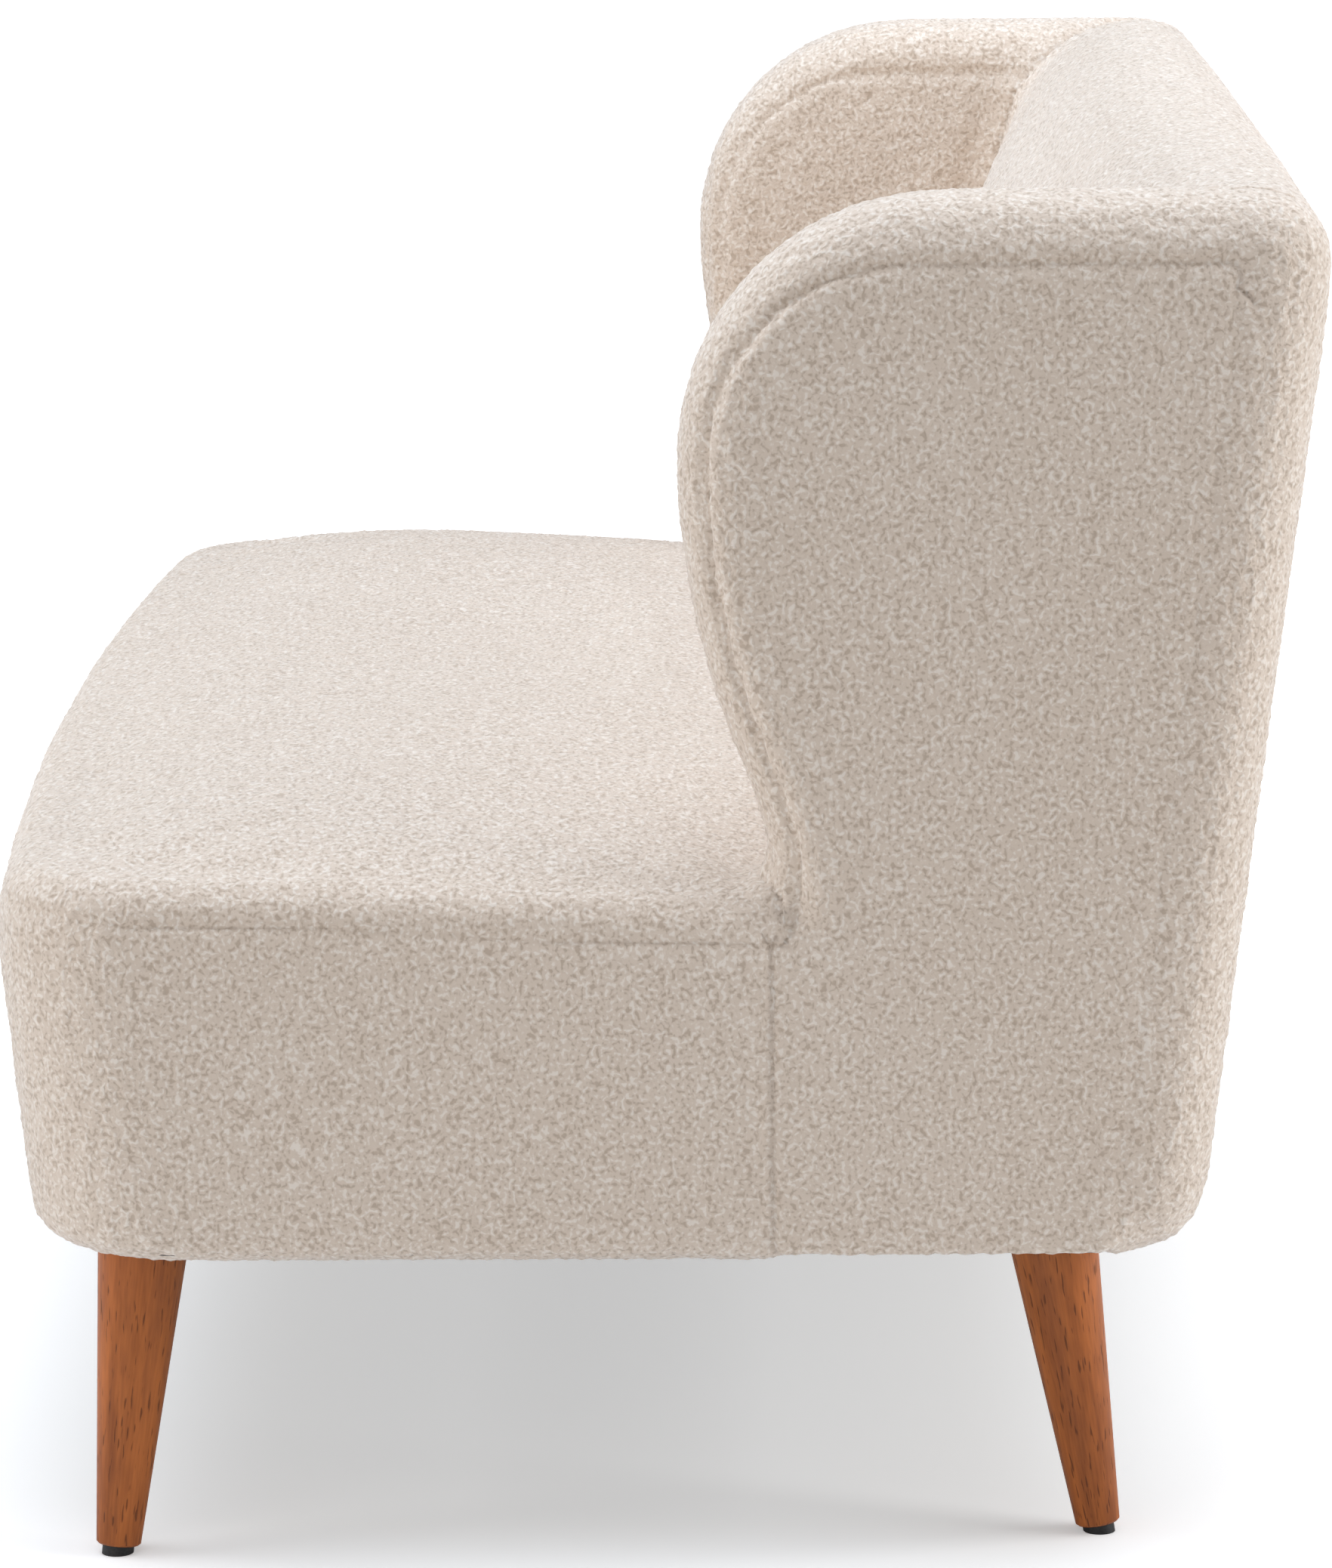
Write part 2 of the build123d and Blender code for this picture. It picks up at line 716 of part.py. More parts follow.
with BuildPart() as left_rear_corner_block:
    with BuildSketch(Plane.XY.offset(rail_bottom)):
        with Locations((rear_block_x, rear_block_front)):
            Rectangle(
                wing_panel_x - rear_block_x,
                rear_rail_front - rear_block_front,
                align=(Align.MIN, Align.MIN),
            )
    extrude(amount=rail_height)
    for bores in (bolt_bores, screw_bores):
        add(bores, mode=Mode.SUBTRACT)
write(left_rear_corner_block, "left_rear_corner_block")
write_right(left_rear_corner_block, "right_rear_corner_block")

with BuildPart() as left_wing_panel:
    add(wing_panel_form(0))
    add(dowel_bores, mode=Mode.SUBTRACT)
write(left_wing_panel, "left_wing_panel")
write_right(left_wing_panel, "right_wing_panel")
write(dowels(0), "frame_dowels")

# Springs, clips and felt
spring_level = rail_top + spring_wire / 2
spring_rear = rear_rail_front - rail_thickness / 2
spring_places = []
for index in range(spring_count):
    spring_x = (index - (spring_count - 1) / 2) * spring_spacing
    bow = seat_front_bow * (spring_x / half_width) ** 2
    spring_places.append((spring_x, seat_rail_front + bow + rail_thickness / 2))

with BuildPart() as seat_springs:
    for spring_x, spring_front in spring_places:
        bend_radius = (spring_rear - spring_front) / spring_bends / 2
        with BuildLine() as wire:
            at = Vector(spring_x - spring_straight / 2, spring_front, spring_level)
            heading = Vector(1, 0, 0)
            for bend in range(spring_bends):
                run = Line(at, at + heading * spring_straight)
                turn = JernArc(run @ 1, run % 1, bend_radius, 180 if bend % 2 == 0 else -180)
                at = turn @ 1
                heading = heading * -1
            Line(at, at + heading * spring_straight)
        with BuildSketch(Plane(origin=wire.line @ 0, z_dir=(1, 0, 0))):
            Circle(spring_wire / 2)
        sweep(path=wire.line)
write(seat_springs, "seat_springs")

with BuildPart() as spring_clips:
    clip_spots = [(x, y) for x, front in spring_places for y in (front, spring_rear)]
    with BuildSketch(Plane.XY.offset(rail_top)):
        with Locations(*clip_spots):
            Rectangle(clip_width, clip_depth)
    extrude(amount=clip_height)
    with Locations(*[Plane(origin=(x, y, spring_level), z_dir=(1, 0, 0)) for x, y in clip_spots]):
        Cylinder(spring_wire / 2 + bore_gap, 2 * clip_width, mode=Mode.SUBTRACT)
write(spring_clips, "spring_clips")

with BuildPart() as seat_felt:
    with BuildSketch(Plane.XY.offset(felt_level)):
        add(seat_plan(frame_inset + fit_gap, seat_draw_in))
    extrude(amount=felt_thickness)
write(seat_felt, "seat_felt")

# Dust cover under the frame
with BuildPart() as dust_cover:
    with BuildSketch(Plane.XY.offset(body_bottom)):
        add(seat_plan(dust_cover_hem, seat_draw_in))
        side = half_width - dust_cover_hem
        corner_side = half_width - wing_outer_radius
        rear_edge = rear_y(body_bottom) - back_bottom_radius
        with BuildLine():
            Polyline(
                (-side, 0),
                (side, 0),
                (side, rear_edge - wing_outer_radius / 2),
                (corner_side, rear_edge),
                (-corner_side, rear_edge),
                (-side, rear_edge - wing_outer_radius / 2),
                close=True,
            )
        make_face()
        with Locations(*leg_tops):
            Rectangle(
                leg_plate_size + dust_cover_hole_gap,
                leg_plate_size + dust_cover_hole_gap,
                mode=Mode.SUBTRACT,
            )
    extrude(amount=-dust_cover_thickness)
write(dust_cover, "dust_cover")

# Legs, glides and their fixings
with BuildPart() as leg_plates:
    with BuildSketch(Plane.XY.offset(leg_plate_level)):
        with Locations(*leg_tops):
            RectangleRounded(leg_plate_size, leg_plate_size, leg_plate_corner)
    extrude(amount=leg_plate_thickness)
    add(bolt_bores, mode=Mode.SUBTRACT)
    add(screw_bores, mode=Mode.SUBTRACT)
write(leg_plates, "leg_plates")
write(hanger_bolts(0), "hanger_bolts")
write(plate_screws(0), "plate_screws")

nail_start = glide_thickness / 2
with BuildPart() as glide_nails:
    for top, foot in zip(leg_tops, leg_feet):
        with BuildSketch(leg_axis(top, foot).offset(nail_start)):
            Circle(glide_nail_diameter / 2)
        extrude(amount=glide_nail_length)
write(glide_nails, "glide_nails")

for leg_name, top, foot in zip(leg_names, leg_tops, leg_feet):
    axis = leg_axis(top, foot)
    length = leg_length(top, foot)
    taper = (leg_top_diameter - leg_foot_diameter) / 2 / (length - glide_thickness)
    with BuildPart() as leg:
        with BuildSketch(axis.offset(glide_thickness)):
            Circle(leg_foot_diameter / 2)
        with BuildSketch(axis.offset(length + leg_top_diameter)):
            Circle(leg_top_diameter / 2 + taper * leg_top_diameter)
        loft()
        chamfer(leg.faces().sort_by(Axis.Z)[0].edges(), length=leg_foot_chamfer)
        split(bisect_by=Plane.XY.offset(leg_plate_level), keep=Keep.BOTTOM)
        with BuildSketch(axis.offset(nail_start)):
            Circle(glide_nail_diameter / 2 + bore_gap)
        extrude(amount=glide_nail_length + bore_gap, mode=Mode.SUBTRACT)
        add(bolt_bores, mode=Mode.SUBTRACT)
    write(leg, f"{leg_name}_leg")
    with BuildPart() as glide:
        with BuildSketch(axis.offset(glide_thickness)):
            Circle(glide_diameter / 2)
        extrude(amount=-2 * glide_thickness)
        split(bisect_by=Plane.XY, keep=Keep.TOP)
        with BuildSketch(axis.offset(nail_start)):
            Circle(glide_nail_diameter / 2 + bore_gap)
        extrude(amount=glide_nail_length, mode=Mode.SUBTRACT)
    write(glide, f"{leg_name}_glide")
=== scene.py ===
import json
import math

import bmesh
import bpy
import numpy as np
from mathutils import Matrix, Vector
from mathutils.bvhtree import BVHTree


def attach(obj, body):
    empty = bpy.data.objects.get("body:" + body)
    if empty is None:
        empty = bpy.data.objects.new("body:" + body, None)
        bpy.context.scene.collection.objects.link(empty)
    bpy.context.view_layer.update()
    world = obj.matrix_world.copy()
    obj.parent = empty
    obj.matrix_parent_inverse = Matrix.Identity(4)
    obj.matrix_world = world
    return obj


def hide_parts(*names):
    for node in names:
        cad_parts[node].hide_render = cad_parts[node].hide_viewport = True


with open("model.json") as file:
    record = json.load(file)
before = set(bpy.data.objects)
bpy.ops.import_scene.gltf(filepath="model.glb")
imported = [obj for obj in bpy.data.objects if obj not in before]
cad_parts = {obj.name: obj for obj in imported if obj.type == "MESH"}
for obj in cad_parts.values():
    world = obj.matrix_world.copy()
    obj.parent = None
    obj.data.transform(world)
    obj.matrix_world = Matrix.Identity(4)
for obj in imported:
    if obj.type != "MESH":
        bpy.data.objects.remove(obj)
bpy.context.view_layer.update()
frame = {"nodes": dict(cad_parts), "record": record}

# A settee in cream curly-pile cloth on four tapered wooden legs. Metres, in the frame of the CAD part.

nodes = frame["nodes"]
sides = ("left", "right")

# Upholstery mesh: how fine it is, and how near to a cover a point counts as part of it
voxel = 0.010
subdivisions = 2
cover_reach = 0.006

# Two corners of a hidden block that fills the rear of the body below the seat
filler_low = Vector((-0.626, 0.05, 0.1905))
filler_high = Vector((0.626, 0.28, 0.36))

# Filling: the cloth starts inside the covers and rises over the padding, less on taut panels
start_inset = 0.004
puff_frames = 20
usual_puff = 0.007
puff_cap = 0.022
taut_share = 0.2
cloth_settings = {
    "quality": 4,
    "mass": 0.4,
    "tension_stiffness": 18.0,
    "compression_stiffness": 18.0,
    "shear_stiffness": 8.0,
    "bending_stiffness": 2.0,
    "use_pressure": True,
    "uniform_pressure_force": 4.0,
}

# Hem, seams and pile
hem_level = 0.225
hem_drop = 0.011
seam_width = 0.0045
seam_depth = 0.0045
seam_hold = 0.6
pile_height = 0.0018
pile_middle = 0.45
pile_pitch = 0.006

# Legs: how close to the top a point counts as its rim, and where each end's grain is cut from
rim_reach = 0.0005
grain_shift = {"front": 0.7, "rear": 0.2}

# Floor: its reach, how far its shadow is lightened, and where it fades to the white ground
floor_reach = 14.0
shadow_lift = 0.35
white_start = 0.7
white_end = 1.9

# Light
light_target = (0.0, 0.0, 0.4)
room_light = 0.2

# Camera at the photograph's angle: turns in degrees, lens and sensor in millimetres
camera_place = (4.2373, 0.0813, 1.1896)
camera_heading = 91.04
camera_pitch = 11.34
camera_roll = -0.495
camera_lens = 149.8
camera_sensor = 36.0
camera_sight = 60.0


class Socket:
    """A shader value. Arithmetic on it adds the nodes that work it out."""

    def __init__(self, tree, output):
        self.tree = tree
        self.output = output

    def node(self, kind, settings, values, output=0):
        """Add a node of any type and return one of its outputs."""
        made = self.tree.nodes.new(kind)
        for name, value in settings.items():
            setattr(made, name, value)
        for name, value in values.items():
            if isinstance(value, Socket):
                self.tree.links.new(value.output, made.inputs[name])
            else:
                made.inputs[name].default_value = value
        return Socket(self.tree, made.outputs[output])

    def maths(self, operation, *values):
        return self.node("ShaderNodeMath", {"operation": operation}, dict(enumerate(values)))

    def __add__(self, other):
        return self.maths("ADD", self, other)

    def __radd__(self, other):
        return self.maths("ADD", other, self)

    def __sub__(self, other):
        return self.maths("SUBTRACT", self, other)

    def __rsub__(self, other):
        return self.maths("SUBTRACT", other, self)

    def __mul__(self, other):
        return self.maths("MULTIPLY", self, other)

    def __rmul__(self, other):
        return self.maths("MULTIPLY", other, self)

    def step(self, low, high):
        """0 below low, 1 above high and a smooth rise between."""
        values = {"Value": self, "From Min": low, "From Max": high}
        return self.node("ShaderNodeMapRange", {"interpolation_type": "SMOOTHSTEP"}, values)

    def blend(self, start, end):
        """A colour between two, by this value."""
        return self.node("ShaderNodeMix", {"data_type": "RGBA"}, {0: self, 6: start, 7: end}, output=2)

    def moved(self, other):
        return self.node("ShaderNodeVectorMath", {"operation": "ADD"}, {0: self, 1: other})

    def stretched(self, factors):
        return self.node("ShaderNodeVectorMath", {"operation": "MULTIPLY"}, {0: self, 1: factors})

    def noise(self, scale, detail=2.0, roughness=0.5, output=0):
        values = {"Vector": self, "Scale": scale, "Detail": detail, "Roughness": roughness}
        return self.node("ShaderNodeTexNoise", {}, values, output)


def srgb(red, green, blue):
    """A colour given in 0 to 255 display values, as the shader wants it."""
    channels = []
    for value in (red, green, blue):
        share = value / 255
        channels.append(share / 12.92 if share <= 0.04045 else ((share + 0.055) / 1.055) ** 2.4)
    return (*channels, 1.0)


def grey(level):
    return (level, level, level, 1.0)


def new_material(name):
    """A material with only a principled shader, and the object coordinates to build its looks from."""
    material = bpy.data.materials.new(name)
    material.use_nodes = True
    tree = material.node_tree
    shader = tree.nodes["Principled BSDF"]
    place = Socket(tree, tree.nodes.new("ShaderNodeTexCoord").outputs["Object"])
    return material, shader, place


def connect(shader, **sockets):
    """Link looks to the shader's inputs: words joined by an underscore name an input."""
    for name, socket in sockets.items():
        title = name.replace("_", " ").title()
        socket.tree.links.new(socket.output, shader.inputs[title])


def bumps(height, strength, distance):
    """A normal from a height."""
    return height.node("ShaderNodeBump", {}, {"Height": height, "Strength": strength, "Distance": distance})


def boucle_cloth():
    """Cream cloth with a curly pile, painted from the curl height: painted highlights on the crests of the
    loops and small spots of painted shade in the gaps between them.
    """
    material, shader, place = new_material("boucle_cloth")
    bend = (0.0028, 0.0028, 0.0028)
    centred = place.noise(220.0, detail=0.0, output=1).moved((-0.5, -0.5, -0.5))
    curl = place.moved(centred.stretched(bend)).noise(350.0, detail=1.0, roughness=0.4)
    # Painted shade: the hollows between the loops, where shade falls, are coloured darker.
    gap_shade = 1.0 - curl.step(0.31, 0.46)
    # Painted highlight: the tops of the loops are coloured lighter.
    crest_highlight = curl.step(0.54, 0.67)
    patch = place.noise(7.0, detail=3.0)
    cream = patch.blend(srgb(217, 200, 184), srgb(222, 206, 191))
    # The darker colour here is painted shade in the gaps between the loops.
    colour = (gap_shade * 0.45).blend(cream, srgb(158, 135, 113))
    # The lighter colour here is a painted highlight on the crests of the loops.
    colour = (crest_highlight * 0.6).blend(colour, srgb(245, 236, 226))
    connect(shader, base_color=colour, roughness=0.98 - 0.12 * curl)
    connect(shader, normal=bumps(curl, strength=1.0, distance=0.0011))
    shader.inputs["Sheen Weight"].default_value = 0.4
    shader.inputs["Sheen Roughness"].default_value = 0.5
    shader.inputs["Specular IOR Level"].default_value = 0.1
    return material


def leg_wood(name, slope, shift):
    """Warm brown wood with short dark pores and its grain along a leg that leans by the slope."""
    material, shader, place = new_material(name)
    height = place.node("ShaderNodeSeparateXYZ", {}, {0: place}, output=2)
    back = place.node("ShaderNodeCombineXYZ", {}, {"X": height * -slope[0], "Y": height * -slope[1]})
    upright = place.moved(back).moved(shift)
    figure = upright.stretched((1.0, 1.0, 0.06)).noise(75.0, detail=4.0, roughness=0.6)
    fibre = upright.stretched((1.0, 1.0, 0.03)).noise(620.0, detail=2.0)
    pores = upright.stretched((1.0, 1.0, 0.1)).noise(600.0, detail=1.0).step(0.62, 0.71)
    tone = (figure * 0.75 + fibre * 0.35).step(0.25, 0.85)
    colour = tone.blend(srgb(134, 71, 32), srgb(196, 113, 54))
    colour = (pores * 0.65).blend(colour, srgb(74, 37, 18))
    connect(shader, base_color=colour, roughness=0.40 + 0.14 * fibre + 0.12 * pores)
    connect(shader, normal=bumps(fibre * 0.4 - pores, strength=0.25, distance=0.0006))
    shader.inputs["Specular IOR Level"].default_value = 0.3
    return material


def plain_wood(name, dark, light):
    """Sawn timber or plywood inside the body."""
    material, shader, place = new_material(name)
    figure = place.stretched((0.15, 1.0, 1.0)).noise(90.0, detail=4.0)
    connect(shader, base_color=figure.step(0.3, 0.7).blend(dark, light), roughness=0.6 + 0.2 * figure)
    connect(shader, normal=bumps(figure, strength=0.2, distance=0.001))
    return material


def fibrous(name, dark, light, scale):
    """Felt, webbing or dust cloth: fine fibres over a slow change of tone."""
    material, shader, place = new_material(name)
    fibre = place.noise(scale, detail=3.0, roughness=0.7)
    slow = place.noise(14.0)
    tone = (fibre * 0.7 + slow * 0.4).step(0.3, 0.8)
    connect(shader, base_color=tone.blend(dark, light), roughness=0.86 + 0.12 * fibre)
    connect(shader, normal=bumps(fibre, strength=0.4, distance=0.0008))
    return material


def glide_plastic():
    """Black moulded plastic with a fine grain."""
    material, shader, place = new_material("glide_plastic")
    grain = place.noise(900.0, detail=2.0)
    connect(shader, base_color=grain.step(0.3, 0.7).blend(srgb(20, 20, 21), srgb(38, 38, 40)))
    connect(shader, roughness=0.42 + 0.2 * grain, normal=bumps(grain, strength=0.2, distance=0.0003))
    return material


def zinc_steel():
    """Zinc-plated steel of the springs and fixings."""
    material, shader, place = new_material("zinc_steel")
    mottle = place.noise(160.0, detail=3.0)
    connect(shader, base_color=mottle.step(0.3, 0.7).blend(srgb(150, 152, 156), srgb(190, 191, 194)))
    connect(shader, roughness=0.28 + 0.25 * mottle, normal=bumps(mottle, strength=0.1, distance=0.0004))
    shader.inputs["Metallic"].default_value = 1.0
    return material


def floor_paint():
    """A pale floor that keeps a soft shadow and fades to white, as the camera sees it."""
    material, shader, place = new_material("floor")
    tone = place.noise(3.0)
    distance = place.node("ShaderNodeVectorMath", {"operation": "LENGTH"}, {0: place}, output=1)
    seen = place.node("ShaderNodeLightPath", {}, {})
    # Painted light: for camera rays only, the floor glows, lifting its shadow by shadow_lift and turning
    # white between white_start and white_end.
    glow = ((shadow_lift + distance.step(white_start, white_end)) * seen).blend(grey(0.0), grey(1.0))
    connect(shader, base_color=tone.blend(grey(0.93), grey(0.95)), roughness=0.85 + 0.1 * tone)
    connect(shader, emission_color=glow)
    shader.inputs["Emission Strength"].default_value = 1.0
    shader.inputs["Specular IOR Level"].default_value = 0.1
    return material


def give_finish(piece, material):
    """Let one material cover a whole piece."""
    piece.data.materials.clear()
    piece.data.materials.append(material)


def coordinates(piece):
    """The vertices' places as an array."""
    flat = np.empty(len(piece.data.vertices) * 3, dtype=np.float32)
    piece.data.vertices.foreach_get("co", flat)
    return flat.reshape(-1, 3).astype(float)


def normals(piece):
    """The vertices' normals as an array."""
    flat = np.empty(len(piece.data.vertices) * 3, dtype=np.float32)
    piece.data.vertex_normals.foreach_get("vector", flat)
    return flat.reshape(-1, 3).astype(float)


def place_vertices(piece, places):
    piece.data.vertices.foreach_set("co", places.astype(np.float32).ravel())
    piece.data.update()


def apply_modifiers(piece):
    """Replace the mesh by what its modifiers make of it."""
    graph = bpy.context.evaluated_depsgraph_get()
    made = bpy.data.meshes.new_from_object(piece.evaluated_get(graph))
    piece.modifiers.clear()
    old = piece.data
    piece.data = made
    bpy.data.meshes.remove(old)


def modify(piece, kind, **settings):
    """Add one modifier and apply it."""
    modifier = piece.modifiers.new(kind.lower(), kind)
    for name, value in settings.items():
        setattr(modifier, name, value)
    apply_modifiers(piece)


def finished_mesh(name, form):
    """A mesh from a bmesh, which is then freed."""
    mesh = bpy.data.meshes.new(name)
    form.to_mesh(mesh)
    form.free()
    return mesh


def new_piece(name, mesh):
    """An object in the scene from a mesh."""
    piece = bpy.data.objects.new(name, mesh)
    bpy.context.scene.collection.objects.link(piece)
    return piece


def hull_of(node):
    """The convex hull of a CAD node as a mesh."""
    points = bmesh.new()
    points.from_mesh(nodes[node].data)
    bmesh.ops.delete(points, geom=points.faces[:], context="FACES_KEEP_BOUNDARY")
    hull = bmesh.ops.convex_hull(points, input=points.verts[:])
    spare = [item for item in hull["geom_interior"] if isinstance(item, bmesh.types.BMVert)]
    bmesh.ops.delete(points, geom=spare, context="VERTS")
    return finished_mesh("hull", points)


def block(low, high):
    """A box between two corners as a mesh."""
    form = bmesh.new()
    spread = Matrix.LocRotScale((low + high) / 2, None, high - low)
    bmesh.ops.create_cube(form, size=1.0, matrix=spread)
    return finished_mesh("block", form)


def joined_copy(name, meshes):
    """One object from copies of some meshes, with their matching points merged."""
    gathered = bmesh.new()
    for source in meshes:
        gathered.from_mesh(source)
    bmesh.ops.remove_doubles(gathered, verts=gathered.verts[:], dist=0.00001)
    return new_piece(name, finished_mesh(name, gathered))


def keep_largest(piece):
    """Delete all but the largest connected part of a mesh."""
    form = bmesh.new()
    form.from_mesh(piece.data)
    unseen = set(form.verts)
    parts = []
    while unseen:
        waiting = [unseen.pop()]
        part = []
        while waiting:
            vertex = waiting.pop()
            part.append(vertex)
            beside = {edge.other_vert(vertex) for edge in vertex.link_edges} & unseen
            unseen -= beside
            waiting.extend(beside)
        parts.append(part)
    parts.sort(key=len)
    for part in parts[:-1]:
        bmesh.ops.delete(form, geom=part, context="VERTS")
    form.to_mesh(piece.data)
    form.free()


def distances(places, node):
    """How far each place is from a CAD node."""
    mesh = nodes[node].data
    tree = BVHTree.FromPolygons(
        [vertex.co for vertex in mesh.vertices],
        [polygon.vertices for polygon in mesh.polygons],
    )
    return np.array([tree.find_nearest(place)[3] for place in places])


def nearest_of(near, covers):
    """The distance to the nearest of some covers."""
    return np.min([near[cover] for cover in covers], axis=0)


def mark_seams(piece, seams, near):
    """Store on the vertices how far each seam is: squared, with its sign by side of the seam."""
    for index, (first, second, _) in enumerate(seams):
        near_first = nearest_of(near, first)
        near_second = nearest_of(near, second)
        on_either = np.minimum(near_first, near_second) < 2 * cover_reach
        values = np.where(on_either, near_first ** 2 - near_second ** 2, 1.0)
        mark = piece.data.attributes.new(f"seam_{index}", "FLOAT", "POINT")
        mark.data.foreach_set("value", values.astype(np.float32))


def seam_gap(piece, index):
    """Distance of each vertex from one seam."""
    values = np.empty(len(piece.data.vertices), dtype=np.float32)
    piece.data.attributes[f"seam_{index}"].data.foreach_get("value", values)
    return np.sqrt(np.abs(values))


def draw_in(piece, depth_inside):
    """Shrink a piece a little, and draw its bottom edge down until it hides the dust cover's edge."""
    places = coordinates(piece) - normals(piece) * start_inset
    heights = places[:, 2]
    low = np.clip((hem_level - heights) / (hem_level - heights.min()), 0, 1)
    outer = np.clip(2 - depth_inside / cover_reach, 0, 1)
    places[:, 2] -= hem_drop * low * outer
    place_vertices(piece, places)


def puff(piece, fixed, slack):
    """Fill a piece with air as cloth, with some vertices held, and raise it by a share of what it rose."""
    rest = coordinates(piece)
    held = piece.vertex_groups.new(name="held")
    held.add([int(index) for index in np.flatnonzero(fixed)], 1.0, "REPLACE")
    cloth = piece.modifiers.new("cloth", "CLOTH")
    for name, value in cloth_settings.items():
        setattr(cloth.settings, name, value)
    cloth.settings.vertex_group_mass = held.name
    cloth.settings.effector_weights.gravity = 0.0
    cloth.collision_settings.use_collision = False
    cloth.point_cache.frame_start = 1
    cloth.point_cache.frame_end = puff_frames
    for step in range(1, puff_frames + 1):
        bpy.context.scene.frame_set(step)
    apply_modifiers(piece)
    bpy.context.scene.frame_set(1)
    moved = coordinates(piece)
    place_vertices(piece, rest)
    outward = normals(piece)
    rise = np.maximum(np.sum((moved - rest) * outward, axis=1), 0)
    rise *= slack * usual_puff / np.median(rise[~fixed])
    place_vertices(piece, rest + outward * np.minimum(rise, puff_cap)[:, None])


def fill_with_padding(piece, near, hidden, seams, taut):
    """Puff a piece up between its seams, where it isn't hidden."""
    stitched = np.zeros(len(piece.data.vertices), dtype=bool)
    for index, (_, _, depth) in enumerate(seams):
        stitched |= seam_gap(piece, index) < voxel * min(depth, seam_hold)
    slack = np.where(nearest_of(near, taut) < cover_reach, taut_share, 1.0)
    puff(piece, hidden | stitched, slack)


def press_seams(piece, seams):
    """Press a groove into a piece along each of its seams."""
    groove = np.zeros(len(piece.data.vertices))
    for index, (_, _, depth) in enumerate(seams):
        share = np.exp(-((seam_gap(piece, index) / seam_width) ** 2))
        groove = np.maximum(groove, depth * share)
    place_vertices(piece, coordinates(piece) - normals(piece) * (groove * seam_depth)[:, None])


def raise_pile(piece):
    """Roughen the surface with the curls of the pile, so that the outline is not smooth."""
    curls = bpy.data.textures.new("curls", "VORONOI")
    curls.noise_scale = pile_pitch
    modify(
        piece, "DISPLACE",
        texture=curls, texture_coords="LOCAL", strength=-pile_height, mid_level=pile_middle,
    )


def upholster(name, covers, padding, fillers, seams, taut):
    """A soft piece that stands for CAD covers and the padding behind them."""
    meshes = [nodes[node].data for node in covers + padding]
    piece = joined_copy(name, meshes + fillers)
    modify(piece, "REMESH", mode="VOXEL", voxel_size=voxel)
    keep_largest(piece)
    modify(piece, "SMOOTH", factor=0.5, iterations=3)
    places = coordinates(piece)
    near = {cover: distances(places, cover) for cover in covers}
    depth_inside = nearest_of(near, covers)
    mark_seams(piece, seams, near)
    draw_in(piece, depth_inside)
    fill_with_padding(piece, near, depth_inside > cover_reach, seams, taut)
    modify(piece, "SUBSURF", levels=subdivisions, render_levels=subdivisions)
    press_seams(piece, seams)
    raise_pile(piece)
    give_finish(piece, boucle_cloth())
    piece.data.shade_smooth()
    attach(piece, "root")
    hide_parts(*covers, *padding)


# Covers, padding and seams. A seam lies between two groups of covers and has a share of the full depth.
covers = ["seat_top_cover", "seat_border_cover", "inside_back_cover", "outside_back_cover"]
padding = ["seat_foam", "seat_border_padding", "back_foam", "outside_back_padding"]
taut = ["outside_back_cover", "seat_border_cover"]
seams = [
    (["seat_top_cover"], ["seat_border_cover"], 0.55),
    (["seat_top_cover"], ["inside_back_cover"], 1.4),
    (["inside_back_cover"], ["outside_back_cover"], 0.5),
]
for side in sides:
    band = f"{side}_wing_band"
    outer = f"{side}_outer_side_cover"
    inner = f"{side}_inside_wing_cover"
    covers += [band, outer, inner]
    padding += [f"{side}_wing_foam", f"{side}_side_padding"]
    taut.append(outer)
    seams += [
        ([band], [outer], 0.9),
        ([band], [inner], 0.6),
        ([outer], ["outside_back_cover"], 0.2),
        (["seat_border_cover"], [outer], 0.8),
        (["seat_top_cover"], [band, inner], 1.0),
        (["inside_back_cover"], [band, inner], 1.3),
    ]
fillers = [hull_of("seat_border_cover"), hull_of("outside_back_cover"), block(filler_low, filler_high)]
upholster("upholstery", covers, padding, fillers, seams, taut)


# Looks of the CAD nodes that stay
def lean(leg, foot):
    """How far a leg's axis goes across and along for each metre that it rises from its foot."""
    places = coordinates(leg)
    top = places[:, 2].max()
    rim = places[places[:, 2] > top - rim_reach]
    middle = (rim.min(axis=0) + rim.max(axis=0)) / 2
    return [(middle[axis] - foot[axis]) / top for axis in (0, 1)]


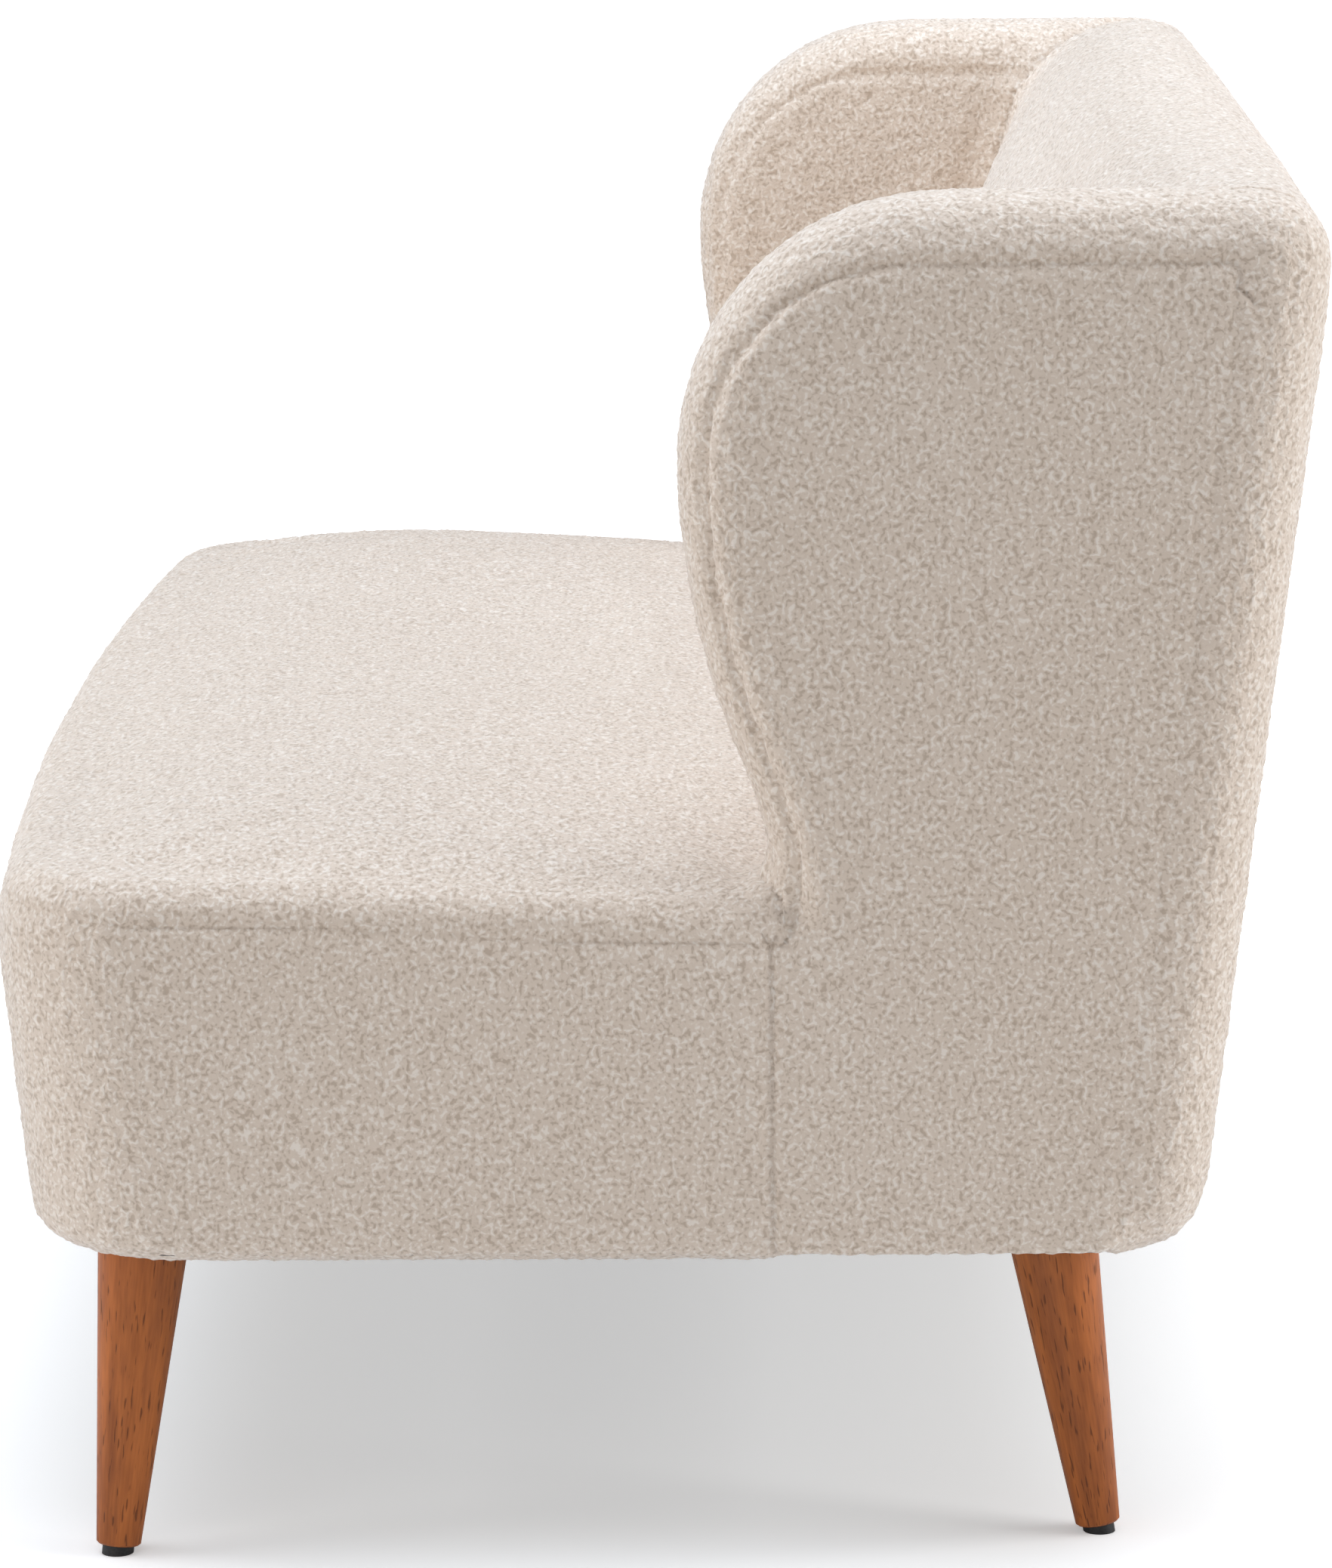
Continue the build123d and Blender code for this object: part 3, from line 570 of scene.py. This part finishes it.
looks = {
    "timber": plain_wood("timber", srgb(170, 132, 88), srgb(205, 170, 125)),
    "plywood": plain_wood("plywood", srgb(180, 146, 102), srgb(214, 184, 142)),
    "steel": zinc_steel(),
    "glide": glide_plastic(),
    "webbing": fibrous("webbing", srgb(58, 52, 46), srgb(92, 84, 74), 700.0),
    "felt": fibrous("felt", srgb(92, 90, 88), srgb(130, 128, 125), 500.0),
    "dust_cloth": fibrous("dust_cloth", srgb(26, 26, 28), srgb(52, 52, 55), 800.0),
}
for entry in frame["record"]["subparts"]:
    if entry["material_slot"] in looks:
        give_finish(nodes[entry["node"]], looks[entry["material_slot"]])
feet = {mount["name"]: mount["pos_m"] for mount in frame["record"]["mounts"]}
for end, end_shift in grain_shift.items():
    for side, sign in zip(sides, (1, -1)):
        leg = nodes[f"{side}_{end}_leg"]
        slope = lean(leg, feet[f"{side}_{end}_foot"])
        shift = (0.3 * sign, end_shift, 0.4 * sign)
        give_finish(leg, leg_wood(f"{side}_{end}_leg_wood", slope, shift))

# Floor
floor_form = bmesh.new()
bmesh.ops.create_grid(floor_form, x_segments=1, y_segments=1, size=floor_reach)
floor = new_piece("floor", finished_mesh("floor", floor_form))
give_finish(floor, floor_paint())


# Light
def soft_light(name, place, size, power, colour):
    """A large soft lamp that faces the object."""
    lamp = bpy.data.lights.new(name, "AREA")
    lamp.shape = "RECTANGLE"
    lamp.size, lamp.size_y = size
    lamp.energy = power
    lamp.color = colour
    holder = new_piece(name, lamp)
    holder.location = place
    holder.rotation_euler = (Vector(light_target) - Vector(place)).to_track_quat("-Z", "Y").to_euler()


soft_light("overhead", place=(-0.1, -0.1, 3.0), size=(3.6, 3.4), power=90.0, colour=(0.93, 1.03, 1.16))
soft_light("front", place=(0.4, -3.4, 1.4), size=(2.4, 2.0), power=42.0, colour=(1.0, 1.0, 1.0))
soft_light("rear", place=(0.6, 3.4, 1.5), size=(2.4, 2.0), power=72.0, colour=(1.0, 1.0, 1.0))
soft_light("camera_side", place=(4.2, -2.2, 0.8), size=(2.6, 1.4), power=21.0, colour=(1.0, 0.92, 0.82))

world = bpy.data.worlds.new("studio")
bpy.context.scene.world = world
world.use_nodes = True
world_tree = world.node_tree
sky = world_tree.nodes["Background"]
seen = Socket(world_tree, world_tree.nodes.new("ShaderNodeLightPath").outputs["Is Camera Ray"])
world_tree.links.new(seen.blend(grey(room_light), grey(1.0)).output, sky.inputs["Color"])

# Camera
lens = bpy.data.cameras.new("photo_camera")
lens.lens = camera_lens
lens.sensor_width = camera_sensor
lens.clip_end = camera_sight
camera = new_piece("photo_camera", lens)
heading = Matrix.Rotation(math.radians(camera_heading), 4, "Z")
pitch = Matrix.Rotation(math.radians(90 - camera_pitch), 4, "X")
roll = Matrix.Rotation(math.radians(camera_roll), 4, "Z")
camera.matrix_world = Matrix.Translation(camera_place) @ heading @ pitch @ roll
bpy.context.scene.camera = camera
bpy.context.scene.view_settings.view_transform = "Standard"
